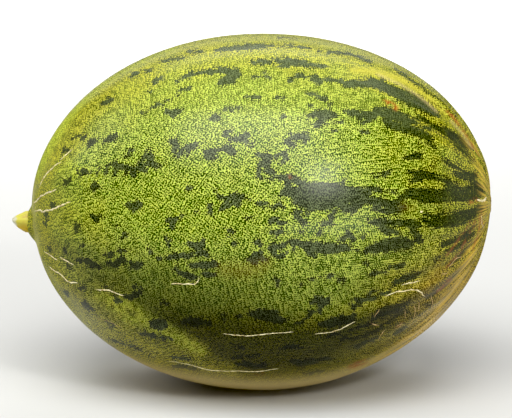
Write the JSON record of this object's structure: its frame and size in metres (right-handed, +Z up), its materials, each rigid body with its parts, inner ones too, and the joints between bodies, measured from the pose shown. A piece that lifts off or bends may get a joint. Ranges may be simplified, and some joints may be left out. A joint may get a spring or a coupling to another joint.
{
  "type": "toad-skin melon",
  "caption": "Whole oval toad-skin melon with a mottled green rind, corky growth cracks and a short broken stem stub, resting on its side.",
  "frame": {"origin": "centre of the bounding box, on the surface that the melon rests on", "axes": "+X from the stem end to the blossom end, +Y away from the side that the picture shows, +Z up"},
  "size_m": [0.239, 0.1786, 0.1762],
  "materials": {
    "rind": "waxy semi-gloss rind, yellow-green maze over dark green, with darker blotches",
    "stem": "dry fleshy stem, matte yellow with a pale broken tip"
  },
  "bodies": {
    "root": {"fruit": "rind", "stem_stub": "stem"}
  },
  "joints": []
}
